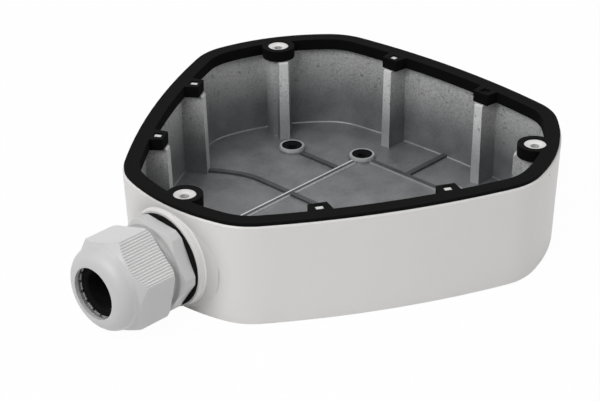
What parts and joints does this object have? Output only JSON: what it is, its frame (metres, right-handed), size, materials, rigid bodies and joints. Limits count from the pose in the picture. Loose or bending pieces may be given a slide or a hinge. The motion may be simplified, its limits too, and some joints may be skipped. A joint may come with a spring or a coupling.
{
  "type": "camera junction box",
  "caption": "Shallow rounded-triangle cast box that carries a camera on its rim, with a rubber gasket, raised screw bosses, plugged wall holes and a cable gland in one corner",
  "frame": {"origin": "centre of the three camera screws, on the flat back of the casting", "axes": "+Z out of the open face towards the camera, -X along the cable gland, Y across; the box is symmetric in Y"},
  "size_m": [0.188, 0.1636, 0.0406],
  "materials": {
    "casting": "satin white coat outside, bare cast aluminium inside",
    "gasket_rubber": "matte",
    "gland_plastic": "moulded nylon, satin",
    "washer_rubber": "matte",
    "cage_plastic": "moulded nylon, satin",
    "seal_rubber": "matte",
    "plug_rubber": "matte"
  },
  "bodies": {
    "box": {"box_body": "casting", "rim_gasket": "gasket_rubber", "gland_body": "gland_plastic", "gland_washer": "washer_rubber", "wall_plug_1": "plug_rubber", "wall_plug_2": "plug_rubber", "wall_plug_3": "plug_rubber", "wall_plug_4": "plug_rubber", "wall_plug_5": "plug_rubber", "wall_plug_6": "plug_rubber", "wall_plug_7": "plug_rubber"},
    "clamp": {"gland_clamping_cage": "cage_plastic", "gland_seal": "seal_rubber"},
    "nut": {"gland_dome_nut": "gland_plastic"}
  },
  "joints": [
    {"name": "clamp_slide", "type": "slide", "parent": "box", "child": "clamp", "axis": [1, 0, 0], "range_m": [-0.0016, 0.0031]},
    {"name": "nut_turn", "type": "hinge", "parent": "clamp", "child": "nut", "pos_m": [-0.1, 0, 0.0192], "axis": [1, 0, 0], "range_deg": [-360, 720]}
  ],
  "couplings": [
    {"joint": "clamp_slide", "follows": "nut_turn", "m_per_rad": 0.00023873}
  ]
}
